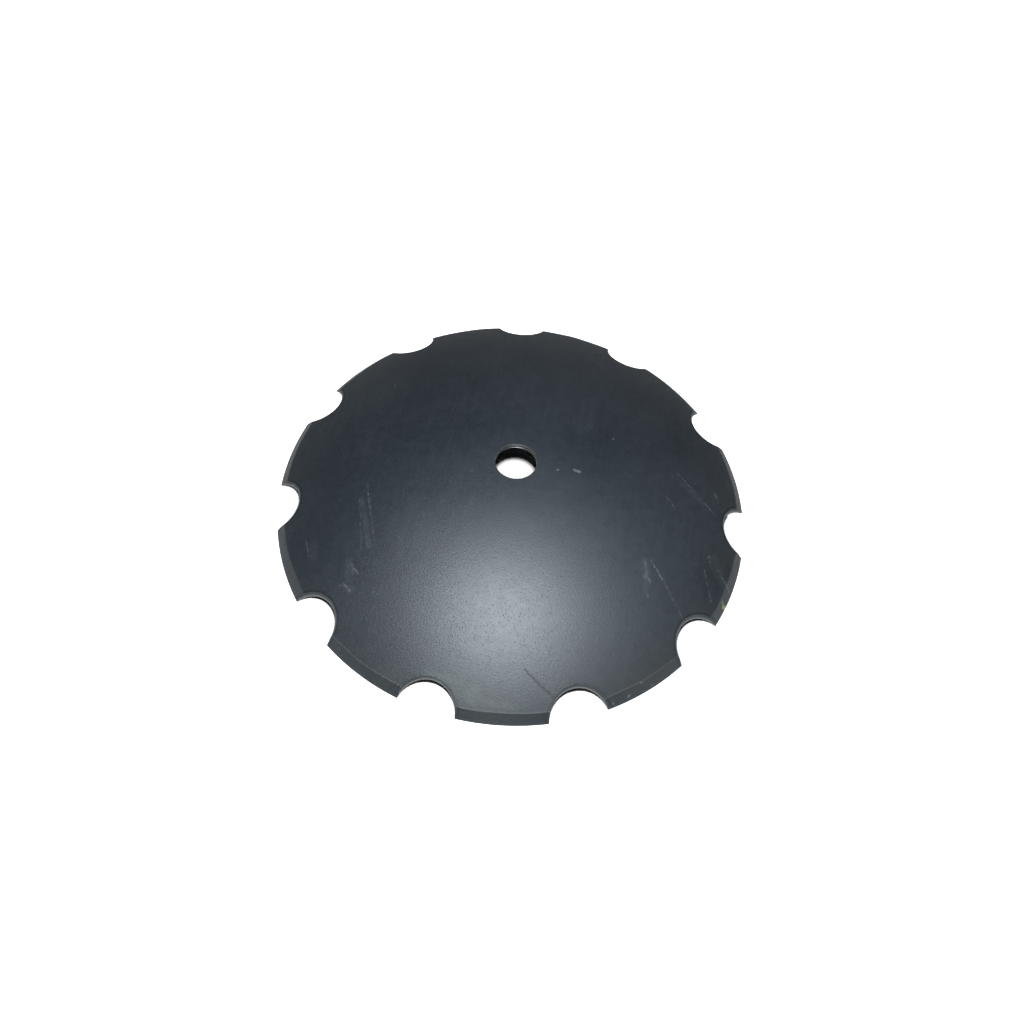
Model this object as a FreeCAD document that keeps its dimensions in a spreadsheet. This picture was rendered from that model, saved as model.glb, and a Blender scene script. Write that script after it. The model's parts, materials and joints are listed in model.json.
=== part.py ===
import FreeCAD, Part
import math
import os
import Sketcher

# Harrow disc blade: one dished and scalloped steel disc with a round bore for the gang bolt.
# It lies on its rim with the hollow side down. The origin is the centre of the rim plane,
# +Z is the disc's axis and one notch is centred on +X.

NODE = "disc_blade"

# Driving dimensions in millimetres, one spreadsheet cell each.
SIZES = {
    "disc_diameter": 660,      # over the cutting edge
    "dish_depth": 74.5,        # from the rim plane up to the crown of the hollow face
    "plate_thickness": 7,      # square to the dished faces
    "bore_diameter": 55.6,
    "bore_edge_break": 0.8,    # small chamfer at both ends of the bore
    "rim_bevel_width": 11,     # ground on the convex side, measured along a radius
    "edge_land": 1.5,          # blunt edge left below the rim bevel
    "notch_count": 11,
    "notch_radius": 37.7,
    "notch_standoff": 4.7,     # from the cutting edge out to the notch's centre
    "notch_bevel": 2.5,        # chamfer round each notch, on the convex side
}

# How a sketch numbers an element's own points, its origin and axes, and the edges it borrows.
START, END, CENTRE = range(1, 4)
H_AXIS, V_AXIS, CONVEX_FACE, RIM_WALL = range(-1, -5, -1)
ORIGIN = H_AXIS

TOUCH = 1e-4    # how near two places are before they count as one


def make_sheet(doc, sizes):
    """Put each driving dimension in a cell that carries its name."""
    sheet = doc.addObject("Spreadsheet::Sheet", "sizes")
    for row, (name, value) in enumerate(sizes.items(), start=1):
        sheet.set(f"A{row}", str(value))
        sheet.setAlias(f"A{row}", name)
    doc.recompute()


def origin_feature(body, role):
    """Find one of the body's own origin planes or axes."""
    return next(item for item in body.Origin.OriginFeatures if item.Role == role)


def new_sketch(body, name, plane):
    sketch = body.newObject("Sketcher::SketchObject", name)
    sketch.AttachmentSupport = [(origin_feature(body, plane), "")]
    sketch.MapMode = "FlatFace"
    return sketch


def tie(sketch, kind, *points):
    """Add a constraint that has no size."""
    sketch.addConstraint(Sketcher.Constraint(kind, *points))


def size(sketch, kind, points, start_value, formula):
    """Add a dimension that starts at its value and then follows the spreadsheet."""
    index = sketch.addConstraint(Sketcher.Constraint(kind, *points, start_value))
    sketch.setExpression(f"Constraints[{index}]", formula)


def point(x, y):
    return FreeCAD.Vector(x, y, 0)


class DishedFaces:
    """The two concentric spheres that the plate lies between, as a section sees them."""

    def __init__(self, sizes):
        rim, depth = sizes["disc_diameter"] / 2, sizes["dish_depth"]
        self.hollow_radius = (rim ** 2 + depth ** 2) / (2 * depth)
        self.convex_radius = self.hollow_radius + sizes["plate_thickness"]
        self.centre = point(0, depth - self.hollow_radius)

    def point_at(self, radius, face_radius):
        """Point of a face at a distance from the disc's axis."""
        return point(radius, self.centre.y + math.sqrt(face_radius ** 2 - radius ** 2))

    def is_on_convex(self, place):
        """True for a point of the model that lies on the convex sphere."""
        from_centre = place - FreeCAD.Vector(0, 0, self.centre.y)
        return abs(from_centre.Length - self.convex_radius) < TOUCH

    def arc(self, outer_radius, inner_radius, face_radius):
        """Arc of a face from the rim in to the bore."""
        circle = Part.Circle(self.centre, FreeCAD.Vector(0, 0, 1), face_radius)
        angles = [math.acos(radius / face_radius) for radius in (outer_radius, inner_radius)]
        return Part.ArcOfCircle(circle, *angles)


def shell_section(body, faces):
    """Section of the plain dished plate: two concentric arcs, a square rim and the bore wall."""
    rim, bore = SIZES["disc_diameter"] / 2, SIZES["bore_diameter"] / 2
    depth, thickness = SIZES["dish_depth"], SIZES["plate_thickness"]
    sketch = new_sketch(body, "shell_section", "XZ_Plane")
    hollow = sketch.addGeometry(faces.arc(rim, bore, faces.hollow_radius))
    convex = sketch.addGeometry(faces.arc(rim, bore, faces.convex_radius))
    rim_wall, bore_wall = (
        sketch.addGeometry(Part.LineSegment(faces.point_at(radius, faces.hollow_radius),
                                            faces.point_at(radius, faces.convex_radius)))
        for radius in (rim, bore))
    crowns = [sketch.addGeometry(Part.Point(point(0, height)), True)
              for height in (depth, depth + thickness)]

    for wall, arc_end in ((rim_wall, START), (bore_wall, END)):
        tie(sketch, "Coincident", wall, START, hollow, arc_end)
        tie(sketch, "Coincident", wall, END, convex, arc_end)
        tie(sketch, "Vertical", wall)
    tie(sketch, "Coincident", hollow, CENTRE, convex, CENTRE)
    tie(sketch, "PointOnObject", hollow, CENTRE, V_AXIS)
    for crown, face in zip(crowns, (hollow, convex)):
        tie(sketch, "PointOnObject", crown, START, V_AXIS)
        tie(sketch, "PointOnObject", crown, START, face)
    tie(sketch, "PointOnObject", rim_wall, START, H_AXIS)

    size(sketch, "DistanceX", (ORIGIN, START, rim_wall, START), rim, "sizes.disc_diameter / 2")
    size(sketch, "DistanceX", (ORIGIN, START, bore_wall, START), bore, "sizes.bore_diameter / 2")
    size(sketch, "DistanceY", (ORIGIN, START, crowns[0], START), depth, "sizes.dish_depth")
    size(sketch, "DistanceY", (crowns[0], START, crowns[1], START), thickness,
         "sizes.plate_thickness")
    return sketch


def turn(body, name, kind, sketch):
    """Turn a section once round the disc's axis, as a Revolution or a Groove."""
    feature = body.newObject(f"PartDesign::{kind}", name)
    feature.Profile = sketch
    feature.ReferenceAxis = (sketch, ["V_Axis"])
    feature.Angle = 360
    return feature


def punch_notches(body):
    """Punch one round notch straight through the rim and repeat it round the disc."""
    centre = SIZES["disc_diameter"] / 2 + SIZES["notch_standoff"]
    radius = SIZES["notch_radius"]
    sketch = new_sketch(body, "notch_outline", "XY_Plane")
    outline = sketch.addGeometry(Part.Circle(point(centre, 0), FreeCAD.Vector(0, 0, 1), radius))
    tie(sketch, "PointOnObject", outline, CENTRE, H_AXIS)
    size(sketch, "DistanceX", (ORIGIN, START, outline, CENTRE), centre,
         "sizes.disc_diameter / 2 + sizes.notch_standoff")
    size(sketch, "Radius", (outline,), radius, "sizes.notch_radius")

    notch = body.newObject("PartDesign::Pocket", "notch")
    notch.Profile = sketch
    notch.Type = "ThroughAll"
    notch.SideType = "Symmetric"

    ring = body.newObject("PartDesign::PolarPattern", "notch_ring")
    ring.Originals = [notch]
    ring.Axis = (origin_feature(body, "Z_Axis"), [""])
    ring.Angle = 360
    ring.setExpression("Occurrences", "sizes.notch_count")
    body.Tip = ring
    return ring


def chamfer(body, name, base, is_wanted, formula):
    """Chamfer every edge of the base that a test picks out."""
    feature = body.newObject("PartDesign::Chamfer", name)
    names = [f"Edge{i}" for i, edge in enumerate(base.Shape.Edges, start=1) if is_wanted(edge)]
    feature.Base = (base, names)
    feature.setExpression("Size", formula)
    return feature


def is_circle(edge):
    return isinstance(edge.Curve, Part.Circle)


def edge_through(sketch, place):
    """Name the edge of an XZ sketch that passes through a place."""
    probe = Part.Vertex(FreeCAD.Vector(place.x, 0, place.y))
    return next(f"Edge{i}" for i, edge in enumerate(sketch.Shape.Edges, start=1)
                if edge.distToShape(probe)[0] < TOUCH)


def bevel_section(body, faces, shell):
    """Triangle whose long side is the rim bevel, drawn as far past the cutting edge as inside it."""
    rim, width, land = SIZES["disc_diameter"] / 2, SIZES["rim_bevel_width"], SIZES["edge_land"]
    inner = faces.point_at(rim - width, faces.convex_radius)
    edge = point(rim, land)
    outer = edge * 2 - inner
    above = point(outer.x, inner.y)

    sketch = new_sketch(body, "rim_bevel_section", "XZ_Plane")
    for place in (inner, edge):
        sketch.addExternal(shell.Name, edge_through(shell, place))
    bevel, side, top = (sketch.addGeometry(Part.LineSegment(*ends))
                        for ends in ((inner, outer), (outer, above), (above, inner)))
    cutting_edge = sketch.addGeometry(Part.Point(edge), True)

    tie(sketch, "Coincident", bevel, END, side, START)
    tie(sketch, "Coincident", side, END, top, START)
    tie(sketch, "Coincident", top, END, bevel, START)
    tie(sketch, "Vertical", side)
    tie(sketch, "Horizontal", top)
    tie(sketch, "PointOnObject", bevel, START, CONVEX_FACE)
    tie(sketch, "PointOnObject", cutting_edge, START, RIM_WALL)
    tie(sketch, "Symmetric", bevel, START, bevel, END, cutting_edge, START)
    size(sketch, "DistanceX", (bevel, START, cutting_edge, START), width, "sizes.rim_bevel_width")
    size(sketch, "DistanceY", (ORIGIN, START, cutting_edge, START), land, "sizes.edge_land")
    return sketch


def check(doc, body):
    """Stop if any feature failed or the blade isn't one sound solid."""
    failed = [item.Name for item in doc.Objects if {"Invalid", "Error"} & set(item.State)]
    if failed:
        raise RuntimeError(f"failed features: {failed}")
    shape = body.Shape
    if shape.isNull() or not shape.isValid() or len(shape.Solids) != 1:
        raise RuntimeError("the blade is not one valid solid")


def main():
    doc = FreeCAD.newDocument("HarrowDiscBlade")
    make_sheet(doc, SIZES)
    body = doc.addObject("PartDesign::Body", NODE)
    body.Label = NODE
    body.Placement = FreeCAD.Placement()
    faces = DishedFaces(SIZES)

    def finish(feature):
        """Recompute, so that the next feature can read this one's edges."""
        doc.recompute()
        print(f"{feature.Name}: {feature.Shape.Volume:.0f} mm3")
        return feature

    def is_notch_edge(edge):
        """True for a notch's edge on the convex face."""
        return not is_circle(edge) and all(
            faces.is_on_convex(vertex.Point) for vertex in edge.Vertexes)

    def is_bore_edge(edge):
        return is_circle(edge) and abs(edge.Curve.Radius - SIZES["bore_diameter"] / 2) < TOUCH

    shell = shell_section(body, faces)
    finish(turn(body, "dished_plate", "Revolution", shell))
    ring = finish(punch_notches(body))
    notch_bevels = finish(chamfer(body, "notch_bevels", ring, is_notch_edge, "sizes.notch_bevel"))
    rim_bevel = finish(turn(body, "rim_bevel", "Groove", bevel_section(body, faces, shell)))
    finish(chamfer(body, "bore_edges", rim_bevel, is_bore_edge, "sizes.bore_edge_break"))

    check(doc, body)
    os.makedirs("parts", exist_ok=True)
    body.Shape.exportStep(f"parts/{NODE}.step")


main()
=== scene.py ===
import json
import math

import bmesh
import bpy
from mathutils import Matrix, Quaternion, Vector, noise


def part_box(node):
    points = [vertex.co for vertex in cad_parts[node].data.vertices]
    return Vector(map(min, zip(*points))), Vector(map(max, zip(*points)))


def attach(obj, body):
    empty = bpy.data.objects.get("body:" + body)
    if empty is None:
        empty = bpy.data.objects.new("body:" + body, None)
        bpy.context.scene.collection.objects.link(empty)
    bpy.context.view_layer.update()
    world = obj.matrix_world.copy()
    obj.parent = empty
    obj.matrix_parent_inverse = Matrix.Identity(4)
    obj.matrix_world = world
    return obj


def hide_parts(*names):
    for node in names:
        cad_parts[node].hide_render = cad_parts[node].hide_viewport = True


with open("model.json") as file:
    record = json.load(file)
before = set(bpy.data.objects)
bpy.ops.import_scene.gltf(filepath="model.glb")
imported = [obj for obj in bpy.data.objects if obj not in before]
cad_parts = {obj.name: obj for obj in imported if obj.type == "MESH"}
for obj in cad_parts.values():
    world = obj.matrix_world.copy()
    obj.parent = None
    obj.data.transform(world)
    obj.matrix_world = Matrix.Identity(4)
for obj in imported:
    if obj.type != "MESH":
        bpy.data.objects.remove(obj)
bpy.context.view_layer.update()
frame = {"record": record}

low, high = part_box("disc_blade")
boreMount = frame["record"]["mounts"][0]
print("frame loaded, CAD box", [round(value, 4) for value in (*low, *high)])

# The blade lies on its rim, hollow side down. Sizes are metres and angles degrees.
blade = {
    "rimRadius": high.y,
    "dishDepth": 0.0745,         # rim plane up to the crown of the hollow face
    "plateThickness": 0.007,
    "boreRadius": boreMount["dims"]["r_mm"] / 1000,
    "boreEdge": 0.0008,          # small chamfer at the top of the bore
    "bevelWidth": 0.011,         # ground rim bevel, along a radius
    "edgeLand": 0.0015,          # blunt edge below the bevel
    "notchCount": 11,
    "notchRadius": 0.0377,
    "notchStandoff": 0.0047,     # cutting edge out to the notch's centre
    "notchBevel": 0.0025,
    "edgeRounding": 0.00035,     # on every crisp edge
    "bevelWander": 0.00112,      # how far the ground line strays from a true circle
    "bevelWaves": 9,             # and how often
    "columnsPerNotch": 14,       # mesh columns along half a notch
    "columnsPerTooth": 13,       # and along half the tooth beside it
    "rows": 44,                  # from the bore out to the bevel
}


# the blade's faces as heights over the floor

rim = blade["rimRadius"]
hollowRadius = (rim ** 2 + blade["dishDepth"] ** 2) / (2 * blade["dishDepth"])
convexRadius = hollowRadius + blade["plateThickness"]
sphereCentre = blade["dishDepth"] - hollowRadius
notchCentre = rim + blade["notchStandoff"]
notchFloor = notchCentre - blade["notchRadius"]
bevelLine = rim - blade["bevelWidth"]
halfPitch = math.pi / blade["notchCount"]


def hollowHeight(radius):
    return sphereCentre + math.sqrt(hollowRadius ** 2 - radius ** 2)


def convexHeight(radius):
    return sphereCentre + math.sqrt(convexRadius ** 2 - radius ** 2)


# how far the ground line strays outwards at an angle round the disc
def wander(angle):
    place = Vector((math.cos(angle), math.sin(angle), 0.3))
    return blade["bevelWander"] * noise.noise(place * blade["bevelWaves"])


# height of the straight rim bevel, which starts where the ground line is
def bevelHeight(radius, line):
    drop = (convexHeight(line) - blade["edgeLand"]) / (rim - line)
    return blade["edgeLand"] + (rim - radius) * drop


# distance of a place from the wall of the nearest notch
def notchDistance(place):
    angle = math.atan2(place.y, place.x)
    angle -= 2 * halfPitch * round(angle / (2 * halfPitch))
    radius = math.hypot(place.x, place.y)
    return math.hypot(radius * math.cos(angle) - notchCentre,
                      radius * math.sin(angle)) - blade["notchRadius"]


# height of the convex side, with its rim bevel and notch bevels
def topHeight(place):
    radius = math.hypot(place.x, place.y)
    line = bevelLine + wander(math.atan2(place.y, place.x))
    height = convexHeight(radius)
    wall = notchDistance(place)
    if wall < blade["notchBevel"]:
        height -= blade["notchBevel"] - max(wall, 0)
    if radius > line:
        height = min(height, bevelHeight(radius, line))
    return height


# half a notch and half a tooth in plan, as three grids that share their borders

# place at a distance from the disc's axis and at a reach from the notch's centre
def onCircle(radius, reach):
    cosine = (radius ** 2 + notchCentre ** 2 - reach ** 2) / (2 * radius * notchCentre)
    angle = math.acos(cosine)
    return Vector((radius * math.cos(angle), radius * math.sin(angle), 0))


# place on an arc round the notch's centre, from its deepest point to the bevel line
def aroundNotch(share, reach):
    end = onCircle(bevelLine, reach)
    endTurn = math.atan2(end.y, end.x - notchCentre)
    turn = math.pi + (endTurn - math.pi) * share
    return Vector((notchCentre + reach * math.cos(turn), reach * math.sin(turn), 0))


# width of the notch bevel where the rim bevel runs into it
def stripWidth(radius):
    lowered = convexHeight(radius) - bevelHeight(radius, bevelLine)
    return max(blade["notchBevel"] - lowered, 2 * blade["edgeRounding"])


# outer end of a mesh column: on the notch bevel first, then on the rim's bevel line
def borderPlace(column):
    alongNotch = blade["columnsPerNotch"]
    reach = blade["notchRadius"] + blade["notchBevel"]
    if column <= alongNotch:
        return aroundNotch(column / alongNotch, reach)
    corner = onCircle(bevelLine, reach)
    start = math.atan2(corner.y, corner.x)
    angle = start + (halfPitch - start) * (column - alongNotch) / blade["columnsPerTooth"]
    return Vector((bevelLine * math.cos(angle), bevelLine * math.sin(angle), 0))


# the dished face, from the bore out to the border
def faceGrid(column, row):
    share = row / blade["rows"]
    outer = borderPlace(column)
    outerAngle = math.atan2(outer.y, outer.x)
    innerAngle = halfPitch * column / (blade["columnsPerNotch"] + blade["columnsPerTooth"])
    angle = innerAngle + (outerAngle - innerAngle) * share
    radius = blade["boreRadius"] + (outer.length - blade["boreRadius"]) * share
    return Vector((radius * math.cos(angle), radius * math.sin(angle), 0))


bevelRows = 4


# the rim bevel of the tooth, from its inner line out to the cutting edge
def bevelGrid(column, row):
    radius = bevelLine + blade["bevelWidth"] * row / bevelRows
    side = onCircle(radius, blade["notchRadius"] + stripWidth(radius))
    start = math.atan2(side.y, side.x)
    angle = start + (halfPitch - start) * column / blade["columnsPerTooth"]
    return Vector((radius * math.cos(angle), radius * math.sin(angle), 0))


# the strip along the notch's wall: its bevel, and the edge it leaves on the rim bevel
def wallGrid(column, row):
    alongNotch = blade["columnsPerNotch"]
    if column <= alongNotch:
        reach = blade["notchRadius"] + blade["notchBevel"] * (1 - row)
        return aroundNotch(column / alongNotch, reach)
    radius = bevelLine + blade["bevelWidth"] * (column - alongNotch) / bevelRows
    return onCircle(radius, blade["notchRadius"] + stripWidth(radius) * (1 - row))


# make a flat grid and lay each of its points where the plan wants it
def addGrid(mesh, columns, rows, placeOf):
    made = bmesh.ops.create_grid(mesh, x_segments=columns, y_segments=rows, size=1)
    for point in made["verts"]:
        column = round((point.co.x + 1) / 2 * columns)
        row = round((point.co.y + 1) / 2 * rows)
        point.co = placeOf(column, row)


# the whole disc in plan, flat on the floor
def planMesh():
    mesh = bmesh.new()
    notch, tooth = blade["columnsPerNotch"], blade["columnsPerTooth"]
    addGrid(mesh, notch + tooth, blade["rows"], faceGrid)
    addGrid(mesh, tooth, bevelRows, bevelGrid)
    addGrid(mesh, notch + bevelRows, 1, wallGrid)
    bmesh.ops.remove_doubles(mesh, verts=mesh.verts, dist=1e-6)
    bmesh.ops.mirror(mesh, geom=mesh.verts[:] + mesh.edges[:] + mesh.faces[:],
                     matrix=Matrix.Identity(4), merge_dist=1e-6, axis="Y")
    copies = blade["notchCount"] - 1
    bmesh.ops.spin(mesh, geom=mesh.verts[:] + mesh.edges[:] + mesh.faces[:], cent=(0, 0, 0),
                   axis=(0, 0, 1), angle=2 * halfPitch * copies, steps=copies, use_duplicate=True)
    bmesh.ops.remove_doubles(mesh, verts=mesh.verts, dist=1e-6)
    return mesh


def isSharp(edge, angle):
    return len(edge.link_faces) == 2 and edge.calc_face_angle(0) > angle


# a face of a wall that stands straight up
def isUpright(face):
    return abs(face.normal.z) < 0.05


# give the plan its thickness and its dish, then round the crisp edges
def bladeMesh():
    mesh = planMesh()
    for point in mesh.verts:
        radius = point.co.length
        if abs(radius - bevelLine) < 1e-6:
            point.co *= 1 + wander(math.atan2(point.co.y, point.co.x)) / radius
    under = mesh.verts[:]
    made = bmesh.ops.extrude_face_region(mesh, geom=mesh.faces[:], use_keep_orig=True)
    upper = [item for item in made["geom"] if isinstance(item, bmesh.types.BMVert)]
    for point in upper:
        point.co.z = topHeight(point.co)
    for point in under:
        point.co.z = hollowHeight(min(point.co.length, rim))
    bmesh.ops.recalc_face_normals(mesh, faces=mesh.faces)

    bore = [edge for edge in mesh.edges if isSharp(edge, math.radians(57))
            and all(math.hypot(*point.co.xy) < blade["boreRadius"] + 1e-5 for point in edge.verts)]
    bmesh.ops.bevel(mesh, geom=bore, offset=blade["boreEdge"], offset_type="OFFSET", segments=2,
                    profile=0.5, affect="EDGES", material=-1, clamp_overlap=True)
    walls = [edge for edge in mesh.edges if isSharp(edge, math.radians(20))
             and math.hypot(*edge.verts[0].co.xy) > bevelLine / 2
             and any(isUpright(face) for face in edge.link_faces)]
    print("shortest edge by a wall, mm", round(1000 * min(edge.calc_length() for edge in walls), 2))
    bmesh.ops.bevel(mesh, geom=walls, offset=blade["edgeRounding"], offset_type="OFFSET", segments=2,
                    profile=0.5, affect="EDGES", material=-1, clamp_overlap=True)
    measureEdges(mesh)
    return mesh


# note at each point how far it is from its notch wall and from the rim's ground line, and its side
def measureEdges(mesh):
    fromWall = mesh.verts.layers.float.new("fromWall")
    fromLine = mesh.verts.layers.float.new("fromLine")
    convexSide = mesh.verts.layers.float.new("convexSide")
    for point in mesh.verts:
        line = bevelLine + wander(math.atan2(point.co.y, point.co.x))
        point[fromWall] = notchDistance(point.co)
        point[fromLine] = math.hypot(*point.co.xy) - line
        middle = (hollowHeight(min(math.hypot(*point.co.xy), rim)) + topHeight(point.co)) / 2
        point[convexSide] = 1.0 if point.co.z > middle else 0.0


# turn finished mesh work into a piece that rides on the blade's body
def addPiece(name, mesh, material):
    data = bpy.data.meshes.new(name)
    mesh.to_mesh(data)
    mesh.free()
    data.shade_smooth()
    data.set_sharp_from_angle(angle=math.radians(14))
    data.materials.append(material)
    piece = bpy.data.objects.new(name, data)
    bpy.context.scene.collection.objects.link(piece)
    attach(piece, "root")
    return piece


# node helpers

# make a node; an input is a value or the output of another node
def addNode(tree, kind, settings=None, **inputs):
    node = tree.nodes.new("ShaderNode" + kind)
    for name, value in (settings or {}).items():
        setattr(node, name, value)
    for name, value in inputs.items():
        socket = node.inputs[int(name[1:])] if name[1:].isdigit() else node.inputs[name.replace("_", " ")]
        if isinstance(value, bpy.types.NodeSocket):
            tree.links.new(value, socket)
        else:
            socket.default_value = value
    return node


# one step of arithmetic
def calc(tree, operation, *values):
    inputs = {f"i{index}": value for index, value in enumerate(values)}
    return addNode(tree, "Math", {"operation": operation}, **inputs).outputs[0]


def vectorCalc(tree, operation, *values):
    inputs = {f"i{index}": value for index, value in enumerate(values)}
    node = addNode(tree, "VectorMath", {"operation": operation}, **inputs)
    return node.outputs["Value" if operation in ("DOT_PRODUCT", "LENGTH") else "Vector"]


# carry a value from one range to another, held at its ends
def spread(tree, value, fromMin, fromMax, toMin=0.0, toMax=1.0, smooth=True):
    kind = {"interpolation_type": "SMOOTHSTEP" if smooth else "LINEAR"}
    return addNode(tree, "MapRange", kind, i0=value, i1=fromMin, i2=fromMax, i3=toMin, i4=toMax).outputs[0]


def blendColour(tree, factor, first, second, kind="MIX"):
    node = tree.nodes.new("ShaderNodeMix")
    node.data_type = "RGBA"
    node.blend_type = kind
    for socket, value in ((node.inputs[0], factor), (node.inputs[6], first), (node.inputs[7], second)):
        if isinstance(value, bpy.types.NodeSocket):
            tree.links.new(value, socket)
        else:
            socket.default_value = (*value, 1) if isinstance(value, tuple) else value
    return node.outputs[2]


def evenNoise(tree, place, scale, detail, roughness=0.5):
    node = addNode(tree, "TexNoise", Vector=place, Scale=scale, Detail=detail, Roughness=roughness)
    return node.outputs["Fac"]


# an empty shared effect with its sockets
def newGroup(name, inputs, outputs):
    tree = bpy.data.node_groups.new(name, "ShaderNodeTree")
    for label, kind in inputs:
        tree.interface.new_socket(label, in_out="INPUT", socket_type="NodeSocket" + kind)
    for label, kind in outputs:
        tree.interface.new_socket(label, in_out="OUTPUT", socket_type="NodeSocket" + kind)
    return tree, tree.nodes.new("NodeGroupInput").outputs, tree.nodes.new("NodeGroupOutput").inputs


# mask of one straight mark on the dished face, a little frayed
def strokeGroup():
    tree, given, made = newGroup("stroke", (("Place", "Vector"), ("Start", "Vector"), ("End", "Vector"),
                                            ("Width", "Float")), (("Mask", "Float"),))
    fray = addNode(tree, "TexNoise", Vector=given["Place"], Scale=steel["frayScale"], Detail=4.0)
    shift = vectorCalc(tree, "SUBTRACT", fray.outputs["Color"], (0.5, 0.5, 0.5))
    shift = addNode(tree, "VectorMath", {"operation": "SCALE"}, i0=shift, Scale=steel["frayReach"]).outputs[0]
    frayed = vectorCalc(tree, "ADD", given["Place"], shift)
    flat = vectorCalc(tree, "MULTIPLY", frayed, (1.0, 1.0, 0.0))
    along = vectorCalc(tree, "SUBTRACT", given["End"], given["Start"])
    reach = vectorCalc(tree, "SUBTRACT", flat, given["Start"])
    share = calc(tree, "DIVIDE", vectorCalc(tree, "DOT_PRODUCT", reach, along),
                 vectorCalc(tree, "DOT_PRODUCT", along, along))
    share = spread(tree, share, 0.0, 1.0, smooth=False)
    nearest = addNode(tree, "VectorMath", {"operation": "SCALE"}, i0=along, Scale=share).outputs[0]
    gap = vectorCalc(tree, "LENGTH", vectorCalc(tree, "SUBTRACT", reach, nearest))
    inside = calc(tree, "SUBTRACT", 1.0, calc(tree, "DIVIDE", gap, given["Width"]))
    tree.links.new(spread(tree, inside, 0.0, 0.7), made["Mask"])
    return tree


# all marks of one kind as a single mask; each is start, end, width and strength, in mm
def addMarks(tree, place, group, strokes):
    total = 0.0
    for start, end, width, strength in strokes:
        node = tree.nodes.new("ShaderNodeGroup")
        node.node_tree = group
        tree.links.new(place, node.inputs["Place"])
        node.inputs["Start"].default_value = (start[0] / 1000, start[1] / 1000, 0)
        node.inputs["End"].default_value = (end[0] / 1000, end[1] / 1000, 0)
        node.inputs["Width"].default_value = width / 1000
        total = calc(tree, "MAXIMUM", total, calc(tree, "MULTIPLY", node.outputs["Mask"], strength))
    return total


# the dark scaled steel

steel = {
    "colour": (0.0120, 0.0180, 0.0258),
    "paleColour": (0.0200, 0.0275, 0.0362),
    # for the darker band above the notch bevels, the dark marks and the dark specks
    "darkColour": (0.006, 0.008, 0.010),
    # painted highlight along the rim's ground line and round the top of the bore
    "edgeHighlightColour": (0.085, 0.090, 0.090),
    "wallColour": (0.070, 0.072, 0.066),
    "rustColour": (0.075, 0.050, 0.034),
    "hazeColour": (0.062, 0.082, 0.078),
    "filmColour": (0.034, 0.034, 0.027),
    "scratchColour": (0.110, 0.125, 0.135),
    "paintColour": (0.340, 0.370, 0.110),
    "roughness": 0.50,
    "specular": 0.98,
    "specularTint": (0.86, 0.94, 1.0),
    "darkBand": 0.85,               # how much of each of these shows
    "film": 0.35,
    "edgeShine": 0.35,
    "cloudScale": 6.5,           # waves a metre of each pattern
    "mottleScale": 85.0,
    "streakScale": 9.0,
    "streakStretch": (26.0, 1.0, 1.0),
    "filmScale": 11.0,
    "patchScale": 55.0,
    "speckScale": 75.0,
    "grainScale": 420.0,
    "pitScale": 340.0,
    "breakScale": 190.0,         # gaps along the scratches
    "frayScale": 260.0,          # raggedness of their edges
    "frayReach": 0.0045,
    "grainDepth": 0.8,
    "grainHeight": 0.00038,
}

# handling marks on the convex side: start, end, width and strength, in mm and shares of one
marks = {
    "haze": (
        ((-192, -84), (-162, -150), 5.0, 0.33), ((-184, -172), (-172, -206), 8.0, 0.24),
        ((190, -100), (197, -140), 9.0, 0.27), ((-48, -296), (10, -304), 15.0, 0.52),
        ((285, -60), (300, -90), 9.0, 0.22), ((215, 45), (262, 17), 5.0, 0.21),
        ((20, -308), (60, -306), 6.0, 0.38), ((-240, -150), (-232, -172), 8.0, 0.15),
    ),
    "pale": (
        ((222, 52), (285, 5), 1.3, 0.52), ((232, 38), (262, 17), 1.0, 0.22),
        ((209, 6), (223, -8), 1.3, 0.52), ((280, 43), (288, 33), 1.8, 0.68),
        ((-190, -62), (-182, -83), 1.8, 0.60), ((-182, -83), (-158, -141), 1.7, 0.33),
        ((-194, -86), (-171, -155), 1.4, 0.24), ((-182, -173), (-168, -185), 1.4, 0.52),
        ((-177, -175), (-173, -189), 1.3, 0.45), ((-184, -199), (-172, -208), 2.0, 0.60),
        ((-188, -203), (-176, -203), 1.4, 0.38), ((-142, -202), (-140, -210), 1.7, 0.52),
        ((-253, -146), (-242, -166), 2.1, 0.30), ((197, -95), (221, -122), 1.7, 0.60),
        ((221, -122), (247, -155), 1.4, 0.42), ((188, -97), (193, -116), 1.8, 0.42),
        ((190, -118), (199, -122), 3.0, 0.45), ((194, -132), (199, -145), 1.4, 0.38),
        ((271, -82), (285, -122), 1.4, 0.45), ((290, -74), (310, -95), 1.8, 0.52),
        ((276, -60), (281, -72), 3.2, 0.38), ((-204, 123), (-204, 123), 2.2, 0.90),
        ((-54, -25), (-54, -25), 2.1, 0.95), ((125, 77), (125, 77), 2.3, 0.95),
        ((57, -1), (58, 0), 2.0, 0.90), ((204, 234), (205, 234), 2.2, 0.75),
        ((79, 5), (86, 4), 3.1, 0.95), ((205, -245), (207, -244), 2.2, 0.95),
        ((219, -243), (220, -242), 2.1, 0.83), ((192, -263), (193, -262), 2.3, 0.90),
        ((174, -275), (175, -275), 2.1, 0.83),
    ),
    "dark": (
        ((62, -264), (71, -270), 1.6, 0.60), ((71, -270), (87, -279), 2.2, 0.55),
        ((87, -279), (102, -287), 2.6, 0.60), ((-75, -302), (-30, -320), 1.2, 0.30),
    ),
    "paint": (
        ((305, -119), (307, -119), 4.4, 0.70), ((301, -114), (303, -116), 2.0, 0.35),
    ),
}


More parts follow.
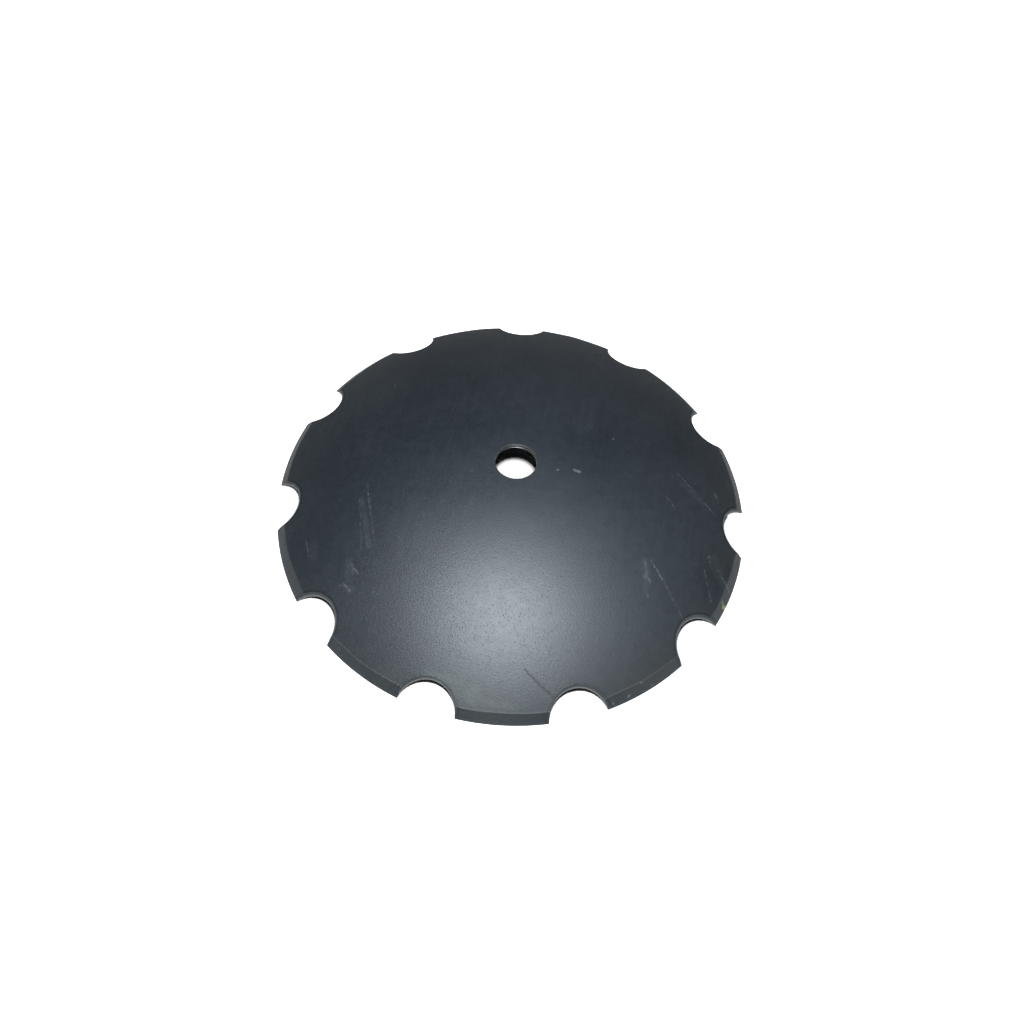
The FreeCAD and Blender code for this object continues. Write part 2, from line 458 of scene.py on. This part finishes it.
def bladeSteel():
    material = bpy.data.materials.new("bladeSteel")
    material.use_nodes = True
    tree = material.node_tree
    shader = tree.nodes["Principled BSDF"]
    place = addNode(tree, "TexCoord").outputs["Object"]
    fromWall = addNode(tree, "Attribute", {"attribute_name": "fromWall"}).outputs["Fac"]
    fromLine = addNode(tree, "Attribute", {"attribute_name": "fromLine"}).outputs["Fac"]
    convexSide = addNode(tree, "Attribute", {"attribute_name": "convexSide"}).outputs["Fac"]
    radius = vectorCalc(tree, "LENGTH", vectorCalc(tree, "MULTIPLY", place, (1.0, 1.0, 0.0)))

    # oily dark scale: broad clouds, finer mottle and faint streaks from the rolling
    cloud = evenNoise(tree, place, steel["cloudScale"], 4.0)
    mottle = evenNoise(tree, place, steel["mottleScale"], 6.0, 0.62)
    streakPlace = vectorCalc(tree, "MULTIPLY", place, steel["streakStretch"])
    streak = evenNoise(tree, streakPlace, steel["streakScale"], 3.0)
    colour = blendColour(tree, spread(tree, cloud, 0.34, 0.66), steel["colour"], steel["paleColour"])
    tone = calc(tree, "ADD", spread(tree, mottle, 0.3, 0.7, 0.86, 1.10, False),
                spread(tree, streak, 0.3, 0.7, -0.07, 0.07, False))
    colour = blendColour(tree, 1.0, colour, tone, "MULTIPLY")

    # towards the rim an olive film comes through in patches
    film = calc(tree, "MULTIPLY", spread(tree, radius, 0.27, 0.33),
                spread(tree, evenNoise(tree, place, steel["filmScale"], 3.0), 0.42, 0.64))
    colour = blendColour(tree, calc(tree, "MULTIPLY", film, steel["film"]), colour, steel["filmColour"])

    # a darker band lies on the face just above each notch bevel; a thin pale line along the rim's ground line
    # is a painted highlight
    darkBand = calc(tree, "MULTIPLY", spread(tree, fromWall, 0.0024, 0.0034),
                 spread(tree, fromWall, 0.0068, 0.0036))
    darkBand = calc(tree, "MULTIPLY", darkBand, convexSide)
    colour = blendColour(tree, calc(tree, "MULTIPLY", darkBand, steel["darkBand"]), colour, steel["darkColour"])
    # painted highlight: a thin pale line on the face along the ground line
    edge = calc(tree, "MULTIPLY", spread(tree, fromLine, -0.0022, -0.0006),
                spread(tree, fromLine, 0.0004, -0.0002))
    edge = calc(tree, "MULTIPLY", edge, convexSide)
    colour = blendColour(tree, calc(tree, "MULTIPLY", edge, steel["edgeShine"]), colour, steel["edgeHighlightColour"])

    # bare cut walls carry a thin brownish oxide; paler patches round the top of the bore are a painted edge
    # highlight, and the bore has some rust on one side
    patch = evenNoise(tree, place, steel["patchScale"], 4.0)
    wall = spread(tree, fromWall, 0.0006, 0.0001)
    colour = blendColour(tree, calc(tree, "MULTIPLY", wall, spread(tree, patch, 0.3, 0.7, 0.45, 1.0)),
                         colour, steel["wallColour"])
    bore = spread(tree, radius, blade["boreRadius"] + 0.0016, blade["boreRadius"] + 0.0004)
    side = spread(tree, addNode(tree, "SeparateXYZ", Vector=place).outputs["X"], 0.004, 0.022)
    colour = blendColour(tree, calc(tree, "MULTIPLY", bore, spread(tree, patch, 0.3, 0.6, 0.0, 0.3)), colour,
                         steel["edgeHighlightColour"])
    colour = blendColour(tree, calc(tree, "MULTIPLY", calc(tree, "MULTIPLY", bore, side), 0.6), colour,
                         steel["rustColour"])

    # handling marks
    stroke = strokeGroup()
    haze = calc(tree, "MULTIPLY", convexSide, addMarks(tree, place, stroke, marks["haze"]))
    colour = blendColour(tree, calc(tree, "MULTIPLY", haze, spread(tree, patch, 0.3, 0.65, 0.3, 1.0)),
                         colour, steel["hazeColour"])
    pale = calc(tree, "MULTIPLY", convexSide, addMarks(tree, place, stroke, marks["pale"]))
    dark = calc(tree, "MULTIPLY", convexSide, addMarks(tree, place, stroke, marks["dark"]))
    paint = calc(tree, "MULTIPLY", convexSide, addMarks(tree, place, stroke, marks["paint"]))
    broken = spread(tree, evenNoise(tree, place, steel["breakScale"], 5.0), 0.40, 0.58, 0.08, 1.0)
    colour = blendColour(tree, calc(tree, "MULTIPLY", pale, broken), colour, steel["scratchColour"])
    colour = blendColour(tree, calc(tree, "MULTIPLY", dark, broken), colour, steel["darkColour"])
    colour = blendColour(tree, paint, colour, steel["paintColour"])

    # stray specks, some pale and some dark
    for key, seed, share in (("scratchColour", 3.1, 0.90), ("darkColour", 8.7, 0.80)):
        moved = vectorCalc(tree, "ADD", place, (seed, seed, 0.0))
        cells = addNode(tree, "TexVoronoi", Vector=moved, Scale=steel["speckScale"])
        chosen = spread(tree, addNode(tree, "SeparateXYZ", Vector=cells.outputs["Color"]).outputs["X"],
                        share, share + 0.06)
        speck = calc(tree, "MULTIPLY", chosen, spread(tree, cells.outputs["Distance"], 0.085, 0.02))
        colour = blendColour(tree, calc(tree, "MULTIPLY", speck, 0.5), colour, steel[key])

    # rough enough for one broad soft highlight, with a grain of shallow pits in it
    rough = calc(tree, "ADD", steel["roughness"] - 0.05, calc(tree, "MULTIPLY", mottle, 0.10))
    rough = calc(tree, "ADD", rough, calc(tree, "MULTIPLY", dark, 0.25))
    grain = evenNoise(tree, place, steel["grainScale"], 6.0, 0.72)
    pits = addNode(tree, "TexVoronoi", Vector=place, Scale=steel["pitScale"]).outputs["Distance"]
    height = calc(tree, "ADD", grain, spread(tree, pits, 0.05, 0.22, 0.0, 0.6))
    bump = addNode(tree, "Bump", Height=height, Strength=steel["grainDepth"],
                   Distance=steel["grainHeight"])
    tree.links.new(colour, shader.inputs["Base Color"])
    tree.links.new(rough, shader.inputs["Roughness"])
    tree.links.new(bump.outputs["Normal"], shader.inputs["Normal"])
    shader.inputs["Specular IOR Level"].default_value = steel["specular"]
    shader.inputs["Specular Tint"].default_value = (*steel["specularTint"], 1)
    return material


disc = addPiece("disc_blade_shell", bladeMesh(), bladeSteel())
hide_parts("disc_blade")
print("blade faces", len(disc.data.polygons))


# floor, light and camera

light = {
    "keyPlace": (0.035, -0.355, 0.93),
    "keySize": 0.09,
    "keyPower": 13.0,
    "skyLevel": 0.035,           # overhead
    "horizonLevel": 0.35,        # the pale room round the blade
    "horizonBand": (-0.04, 0.07),    # between which rises it dims
    "underPlace": (0, 0, -3),    # shines up through the floor, for the hollow side
    "underSize": 0.2,
    "underPower": 120.0,
    "farSide": (-0.05, 0.06),    # where the floor's own glow begins to reach further in
    "glowInset": 0.002,          # inside the rim on the near side
    "glowMargin": 0.006,         # outside the notch floors on the far side
    "fallOff": (0.4, 1.8),       # where the key light fades on the floor
    "floorReach": 40,
    "floorGap": 0.0002,          # below the cutting edge
    "floorColour": (0.98, 0.98, 0.98),
}

camera = {
    "place": (0.06218, -0.55169, 0.85255),
    "aim": (0.00395, -0.03002, 0),
    "roll": 5.0,
    "lens": 24.89,
    "filmWidth": 36,
}


# a pale floor that reads as pure white wherever the blade can't shade it
def whiteFloor():
    material = bpy.data.materials.new("whiteFloor")
    material.use_nodes = True
    tree = material.node_tree
    shader = tree.nodes["Principled BSDF"]
    shader.inputs["Base Color"].default_value = (*light["floorColour"], 1)
    shader.inputs["Roughness"].default_value = 1
    shader.inputs["Specular IOR Level"].default_value = 0
    place = addNode(tree, "TexCoord").outputs["Object"]
    reach = vectorCalc(tree, "LENGTH", vectorCalc(tree, "MULTIPLY", place, (1.0, 1.0, 0.0)))
    path = addNode(tree, "LightPath").outputs
    # seen straight on it glows outside the rim, and on the far side inside the notches too, where the
    # key light is weak; in reflections it only makes up for the key light's fall-off
    depth = addNode(tree, "SeparateXYZ", Vector=place).outputs["Y"]
    inset = spread(tree, depth, *light["farSide"], light["glowInset"], rim - notchFloor - light["glowMargin"])
    outside = spread(tree, calc(tree, "ADD", reach, inset), rim - 0.001, rim + 0.003)
    seen = calc(tree, "MULTIPLY", path["Is Camera Ray"], outside)
    mirrored = calc(tree, "MULTIPLY", spread(tree, reach, *light["fallOff"]),
                    calc(tree, "MAXIMUM", path["Is Glossy Ray"], path["Is Transmission Ray"]))
    glow = calc(tree, "MAXIMUM", seen, mirrored)
    shader.inputs["Emission Color"].default_value = (1, 1, 1, 1)
    tree.links.new(glow, shader.inputs["Emission Strength"])

    # from below the floor isn't there, so the hollow side can be seen and lit;
    # that light doesn't spill back on the floor in the blade's own shadow
    straight = calc(tree, "LESS_THAN", path["Diffuse Depth"], 0.5)
    passing = calc(tree, "MULTIPLY", path["Is Shadow Ray"], straight)
    below = addNode(tree, "NewGeometry").outputs["Backfacing"]
    clear = tree.nodes.new("ShaderNodeBsdfTransparent")
    mix = tree.nodes.new("ShaderNodeMixShader")
    tree.links.new(calc(tree, "MAXIMUM", below, passing), mix.inputs[0])
    tree.links.new(shader.outputs["BSDF"], mix.inputs[1])
    tree.links.new(clear.outputs["BSDF"], mix.inputs[2])
    tree.links.new(mix.outputs["Shader"], tree.nodes["Material Output"].inputs["Surface"])
    return material


def addFloor():
    mesh = bmesh.new()
    bmesh.ops.create_circle(mesh, cap_ends=True, segments=96, radius=light["floorReach"])
    data = bpy.data.meshes.new("floor")
    mesh.to_mesh(data)
    mesh.free()
    data.materials.append(whiteFloor())
    floor = bpy.data.objects.new("floor", data)
    floor.location.z = -light["floorGap"]
    bpy.context.scene.collection.objects.link(floor)


# a pale room that the camera sees as white, dimmer overhead
def addWorld():
    world = bpy.data.worlds.new("studio")
    bpy.context.scene.world = world
    world.use_nodes = True
    tree = world.node_tree
    back = tree.nodes["Background"]
    back.inputs["Color"].default_value = (1, 1, 1, 1)
    rise = addNode(tree, "SeparateXYZ", Vector=addNode(tree, "TexCoord").outputs["Generated"]).outputs["Z"]
    level = spread(tree, rise, *light["horizonBand"], light["horizonLevel"], light["skyLevel"])
    path = addNode(tree, "LightPath").outputs
    tree.links.new(calc(tree, "MAXIMUM", level, path["Is Camera Ray"]), back.inputs["Strength"])


def addLamp(name, place, size, power):
    lamp = bpy.data.lights.new(name, "AREA")
    lamp.shape = "DISK"
    lamp.size = size
    lamp.energy = power
    thing = bpy.data.objects.new(name, lamp)
    thing.location = place
    thing.rotation_euler = (-Vector(place)).to_track_quat("-Z", "Y").to_euler()
    bpy.context.scene.collection.objects.link(thing)
    return thing


def addCamera():
    data = bpy.data.cameras.new("camera")
    data.sensor_width = camera["filmWidth"]
    data.lens = camera["lens"]
    thing = bpy.data.objects.new("camera", data)
    place = Vector(camera["place"])
    level = (Vector(camera["aim"]) - place).to_track_quat("-Z", "Y")
    roll = Quaternion((0, 0, 1), math.radians(camera["roll"]))
    thing.matrix_world = Matrix.LocRotScale(place, level @ roll, None)
    bpy.context.scene.collection.objects.link(thing)
    bpy.context.scene.camera = thing


addFloor()
addWorld()
addLamp("key", light["keyPlace"], light["keySize"], light["keyPower"])
addLamp("under", light["underPlace"], light["underSize"], light["underPower"])
addCamera()
bpy.context.scene.view_settings.view_transform = "Standard"
print("stage set")
